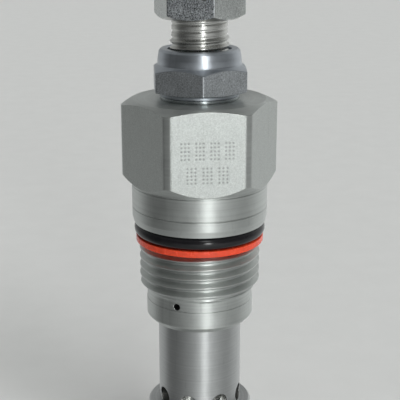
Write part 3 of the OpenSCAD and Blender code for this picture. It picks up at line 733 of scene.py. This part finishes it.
def sleeve_piece():
    """Ported sleeve with its nose land, seal groove and wire groove."""
    columns = even_columns(24 * PORT_COUNT)
    shell = Shell(columns)
    groove = (WIRE_Z - WIRE_GROOVE_H / 2, WIRE_Z + WIRE_GROOVE_H / 2)
    seal_groove = (low("nose_backup_lower") - SEAL_GROOVE_ROOM, high("nose_backup_upper") + SEAL_GROOVE_ROOM)
    shell.turn(
        (SLEEVE_BORE_R, PORT_BAND[0], 0, TURNED), (SLEEVE_BORE_R, STOP_GROOVE[1], 0.03, TURNED),
        (STOP_GROOVE_R, STOP_GROOVE[1], 0.05, TURNED), (STOP_GROOVE_R, STOP_GROOVE[0], 0.05, TURNED),
        (SLEEVE_BORE_R, STOP_GROOVE[0], 0.03, TURNED), (SLEEVE_BORE_R, 0.4, 0.06, TURNED),
        (SLEEVE_BORE_R + 0.4, 0, 0.06, TURNED), (NOSE_R - 0.6, 0, 0.12, TURNED), (NOSE_R, 0.6, 0.2, TURNED),
        (NOSE_R, seal_groove[0], 0.08, TURNED), (NOSE_GROOVE_R, seal_groove[0], 0.12, TURNED),
        (NOSE_GROOVE_R, seal_groove[1], 0.12, TURNED), (NOSE_R, seal_groove[1], 0.08, TURNED),
        (NOSE_R, NOSE_TOP - 0.3, 0.1, TURNED), (NOSE_R - 0.3, NOSE_TOP, 0.1, TURNED),
        (SLEEVE_R, NOSE_TOP, 0.04, TURNED), (SLEEVE_R, PORT_BAND[0], 0, TURNED))
    per_port = len(columns) // PORT_COUNT
    ports = {columns[first + per_port // 2]: (first, first + per_port)
             for first in range(0, len(columns), per_port)}
    shell.drilled_band((SLEEVE_R, *PORT_BAND), (SLEEVE_BORE_R, *PORT_BAND), ports, PORT_R, PORT_Z,
                       PORT_BREAKS, 12)
    shell.turn(
        (SLEEVE_R, PORT_BAND[1], 0, TURNED), (SLEEVE_R, groove[0], 0.03, TURNED),
        (SLEEVE_WIRE_GROOVE_R, groove[0], 0.03, TURNED), (SLEEVE_WIRE_GROOVE_R, groove[1], 0.03, TURNED),
        (SLEEVE_R, groove[1], 0.03, TURNED), (SLEEVE_R, SLEEVE_TOP - 0.3, 0.08, TURNED),
        (SLEEVE_R - 0.3, SLEEVE_TOP, 0.08, TURNED), (SLEEVE_BORE_R + 0.2, SLEEVE_TOP, 0.05, TURNED),
        (SLEEVE_BORE_R, SLEEVE_TOP - 0.2, 0.05, TURNED), (SLEEVE_BORE_R, PORT_BAND[1], 0, TURNED))
    return shell.build("ported_sleeve", "sleeve", [SLEEVE_STEEL, SLEEVE_STEEL, PORT_STEEL])


def turned_piece(name, node, material, corners, count=144):
    """A plain turned piece with a closed outline or one that begins and ends on the axis."""
    shell = Shell(even_columns(count))
    shell.turn(*[(*c, TURNED) for c in corners])
    return shell.build(name, node, [material])


def ring_piece(name, node, inner_r, material, edge):
    """A rectangular ring with softened edges."""
    bottom, top, outer_r = low(node), high(node), reach(node)
    middle = (bottom + top) / 2
    return turned_piece(name, node, material, [
        (inner_r, middle, 0), (inner_r, bottom, edge), (outer_r, bottom, edge),
        (outer_r, top, edge), (inner_r, top, edge), (inner_r, middle, 0)])


def o_ring_piece(name, node):
    """A round-section seal."""
    section = (high(node) - low(node)) / 2
    middle, mean_r = low(node) + section, reach(node) - section
    shell = Shell(even_columns(200))
    around = np.radians(np.arange(0, 372, 12.0))[:, None]
    r = mean_r + section * np.cos(around)
    index = shell.add(on_cylinder(r, shell.columns[None, :], middle + section * np.sin(around)))
    shell.close(index)
    return shell.build(name, node, [SEAL])


def sweep(path, radius, sides=16):
    """Points of a round wire along a path, as a grid of rings."""
    path = np.asarray(path, float)
    along = np.gradient(path, axis=0)
    along /= np.linalg.norm(along, axis=1)[:, None]
    out = path * (1, 1, 0)
    out /= np.linalg.norm(out, axis=1)[:, None]
    up = np.cross(out, along)
    up /= np.linalg.norm(up, axis=1)[:, None]
    out = np.cross(along, up)
    a = np.arange(sides) * 2 * math.pi / sides
    ring = np.cos(a)[None, :, None] * out[:, None] + np.sin(a)[None, :, None] * up[:, None]
    return path[:, None] + radius * ring


def wire_piece(name, node, path, radius, tapers):
    """A springy wire along a path, on no body. tapers rounds its ends; 0 is flat."""
    shell = Shell([0.0])
    rings = sweep(path, radius)
    first, last = path[0], path[-1]
    ends = [(0.0, 1.0), (0.5, 0.87), (0.85, 0.53), (1.0, 0.0)]
    start_dir = (path[0] - path[1]) / np.linalg.norm(path[0] - path[1])
    end_dir = (path[-1] - path[-2]) / np.linalg.norm(path[-1] - path[-2])
    head = [first + (rings[0] - first) * w + start_dir * radius * tapers[0] * d for d, w in ends[:0:-1]]
    tail = [last + (rings[-1] - last) * w + end_dir * radius * tapers[1] * d for d, w in ends[1:]]
    shell.close(shell.add(np.array(head + list(rings) + tail)))
    return shell.build(name, node, [SPRING_STEEL], rides=False)


def spring_piece(name, node, mean_r, wire_r, turns, part=(0, 1)):
    """A compression spring with one closed turn at each end, or the part between two shares of its turns."""
    bottom, top = low(node) + wire_r, high(node) - wire_r
    closed = 2 * wire_r + SPRING_GAP
    t = np.linspace(part[0] * turns, part[1] * turns, round((part[1] - part[0]) * turns * SPRING_STEPS) + 1)
    z = np.interp(t, [0, 1, turns - 1, turns], [bottom, bottom + closed, top - closed, top])
    a = 2 * math.pi * t
    tapers = (WIRE_TAPER * (part[0] == 0), WIRE_TAPER * (part[1] == 1))
    return wire_piece(name, node, np.stack([mean_r * np.cos(a), mean_r * np.sin(a), z], -1), wire_r, tapers)


def bend(piece):
    """Bakes a spring's place into its mesh."""
    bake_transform(piece)


body_piece()
screw_piece()
nut_piece()
sleeve_piece()
ring_piece("locknut_washer_piece", "locknut_washer", WASHER_BORE_R, WASHER_STEEL, 0.1)
ring_piece("nylon_insert", "locknut_insert", INSERT_BORE_R, NYLON, 0.08)
ring_piece("shoulder_backup", "shoulder_backup_ring", GLAND_FLOOR_R, BACKUP, 0.1)
ring_piece("nose_backup_high", "nose_backup_upper", NOSE_GROOVE_R, BACKUP, 0.1)
ring_piece("nose_backup_low", "nose_backup_lower", NOSE_GROOVE_R, BACKUP, 0.1)
for seal in ("shoulder_o_ring", "nose_o_ring", "pad_o_ring", "pilot_seat_o_ring"):
    o_ring_piece(seal + "_piece", seal)
bend(spring_piece("main_spring_piece", "main_spring", *MAIN_SPRING))
bend(spring_piece("pilot_spring_lower", "pilot_spring", *PILOT_SPRING, (0, 0.5)))
bend(spring_piece("pilot_spring_upper", "pilot_spring", *PILOT_SPRING, (0.5, 1)))

for node, material in (
        ("spring_pad", INNER_STEEL), ("pilot_seat", INNER_STEEL), ("pilot_poppet", GROUND_STEEL),
        ("main_piston", GROUND_STEEL), ("orifice_plug", BRASS), ("filter_screen", BRASS),
        ("piston_stop_ring", SPRING_STEEL), ("retaining_wire", SPRING_STEEL)):
    part = frame["nodes"][node]
    part.data.materials.clear()
    part.data.materials.append(material)


# ---------------------------------------------------------------- floor, light and camera

# Half the floor's side, in metres
FLOOR_HALF = 6.0


def floor():
    """A plain pale floor under the nose."""
    mesh = bpy.data.meshes.new("floor")
    corners = [(x * FLOOR_HALF, y * FLOOR_HALF, 0) for x, y in ((-1, -1), (1, -1), (1, 1), (-1, 1))]
    mesh.from_pydata(corners, [], [(0, 1, 2, 3)])
    ground = bpy.data.objects.new("floor", mesh)
    bpy.context.scene.collection.objects.link(ground)
    material, n = new_material("floor", (0.7, 0.7, 0.7))
    where = n.add("ShaderNodeTexCoord").outputs["Object"]
    grain = n.noise(where, 120, 4)
    shader = n.add("ShaderNodeBsdfPrincipled", {
        "Base Color": n.ramp(grain, [(0.3, (0.655, 0.66, 0.65)), (0.7, (0.675, 0.68, 0.67))]),
        "Roughness": 0.9, "Specular IOR Level": 0.1})
    n.add("ShaderNodeOutputMaterial", {"Surface": shader.outputs[0]})
    mesh.materials.append(material)
    ground.visible_glossy = False


# Brightness of the room at degrees right of the camera, a little below level and a little above
ROOM = ((-180, 0.62, 0.42), (-160, 0.56, 0.36), (-130, 0.56, 0.45), (-115, 0.49, 0.28), (-105, 0.30, 0.17),
        (-95, 0.15, 0.12), (-85, 0.12, 0.08), (-65, 0.15, 0.07), (-50, 0.25, 0.075), (-30, 0.42, 0.08),
        (-15, 0.62, 0.12), (0, 0.95, 0.20), (9, 1.38, 0.24), (17, 1.48, 0.25), (27, 1.0, 0.21),
        (50, 0.76, 0.185), (60, 0.56, 0.18), (85, 0.46, 0.11), (100, 0.60, 0.25), (120, 0.70, 0.60),
        (150, 0.80, 0.72), (160, 0.74, 0.54), (180, 0.60, 0.39))
# The walls' levels are divided by ROOM_PEAK in their colour ramp, and multiplied by it again after it
ROOM_PEAK = 1.5
# Between these elevations, in degrees, one level gives way to the next
ROOM_LOW = (-46, -16)
ROOM_HIGH = (-16, 8)
ROOM_CEILING = (20, 60)
ROOM_BELOW = (-46, -75)
ROOM_FLOOR_SHARE = 0.4
ROOM_FLOOR_GLOW = 0.25
CEILING = 0.26
FLOOR_BELOW = 0.45
ROOM_TINT = (0.985, 1.01, 1.0)
LAMP_GLOW = 10.8
LAMP_HALF_WIDTH = (3.0, 6.0)
LAMP_HEIGHTS = (-5.0, 1.0, 19.0, 25.0)
OVERHEAD_GLOW = 3.5
OVERHEAD_HEIGHTS = (35.0, 50.0)


def room():
    """A pale studio room, darker above eye level and to the left, with a lamp and a streak over it."""
    world = bpy.data.worlds.new("room")
    bpy.context.scene.world = world
    world.use_nodes = True
    n = Nodes(world.node_tree)
    parts = n.add("ShaderNodeSeparateXYZ", {0: n.add("ShaderNodeTexCoord").outputs["Generated"]}).outputs
    turn = n.math("ARCTAN2", parts[0], n.math("MULTIPLY", parts[1], -1.0))
    turn = n.math("DIVIDE", n.math("SUBTRACT", turn, math.radians(CAMERA_AZIMUTH)), 2 * math.pi)
    turn = n.math("FRACT", n.math("ADD", turn, 0.5))
    height = n.math("MULTIPLY", n.math("ARCSINE", parts[2]), 180 / math.pi)
    levels = [(a, (ROOM_FLOOR_GLOW + ROOM_FLOOR_SHARE * level, level, above)) for a, level, above in ROOM]
    walls = n.ramp(turn, [(a / 360 + 0.5, [v / ROOM_PEAK for v in level]) for a, level in levels])
    at = n.add("ShaderNodeSeparateColor", {0: n.tinted(walls, ROOM_PEAK)}).outputs

    def between(elevations, before, after):
        share = n.remap(height, *elevations, 0, 1)
        return n.math("ADD", n.math("MULTIPLY", before, n.math("SUBTRACT", 1.0, share)),
                      n.math("MULTIPLY", after, share))

    value = between(ROOM_LOW, at[0], at[1])
    value = between(ROOM_HIGH, value, at[2])
    value = between(ROOM_CEILING, value, CEILING)
    value = between(ROOM_BELOW, value, FLOOR_BELOW)
    off = n.math("ABSOLUTE", n.math("SUBTRACT", turn, LAMP_AZIMUTH / 360 + 0.5))
    lamp = n.remap(off, LAMP_HALF_WIDTH[0] / 360, LAMP_HALF_WIDTH[1] / 360, LAMP_GLOW, 0)
    lamp = n.math("MULTIPLY", lamp, n.remap(height, LAMP_HEIGHTS[0], LAMP_HEIGHTS[1], 0, 1))
    lamp = n.math("MULTIPLY", lamp, n.remap(height, LAMP_HEIGHTS[3], LAMP_HEIGHTS[2], 0, 1))
    overhead = n.remap(off, LAMP_HALF_WIDTH[0] / 360, 2 * LAMP_HALF_WIDTH[1] / 360, OVERHEAD_GLOW, 0)
    overhead = n.math("MULTIPLY", overhead, n.remap(height, *OVERHEAD_HEIGHTS, 0, 1))
    colour = n.tinted(ROOM_TINT, n.math("ADD", value, n.math("ADD", lamp, overhead)))
    background = n.add("ShaderNodeBackground", {"Color": colour, "Strength": 1.0})
    n.add("ShaderNodeOutputWorld", {"Surface": background.outputs[0]})


def soft_light(name, tilt, spread, strength):
    """Soft light from a wide patch of the room, tilted away from overhead, which the metal doesn't mirror."""
    data = bpy.data.lights.new(name, "SUN")
    data.angle = math.radians(spread)
    data.energy = strength
    lamp = bpy.data.objects.new(name, data)
    lamp.rotation_euler = [math.radians(a) for a in tilt]
    lamp.visible_glossy = False
    bpy.context.scene.collection.objects.link(lamp)


def camera():
    data = bpy.data.cameras.new("camera")
    data.sensor_width = 36
    data.lens = CAMERA_LENS
    data.clip_start = 0.01
    a, e = math.radians(CAMERA_AZIMUTH), math.radians(CAMERA_ELEVATION)
    back = Vector((math.sin(a) * math.cos(e), -math.cos(a) * math.cos(e), math.sin(e)))
    right = Vector((math.cos(a), math.sin(a), 0))
    eye = bpy.data.objects.new("camera", data)
    eye.location = Vector((0, 0, AIM_HEIGHT)) + right * AIM_RIGHT + back * CAMERA_DISTANCE
    eye.rotation_euler = (-back).to_track_quat("-Z", "Y").to_euler()
    bpy.context.scene.collection.objects.link(eye)
    bpy.context.scene.camera = eye


floor()
room()
soft_light("ceiling", tilt=(0, 0, 0), spread=40, strength=0.6)
soft_light("front", tilt=(55, 0, 33), spread=30, strength=1.5)
camera()
bpy.context.scene.view_settings.view_transform = "Standard"
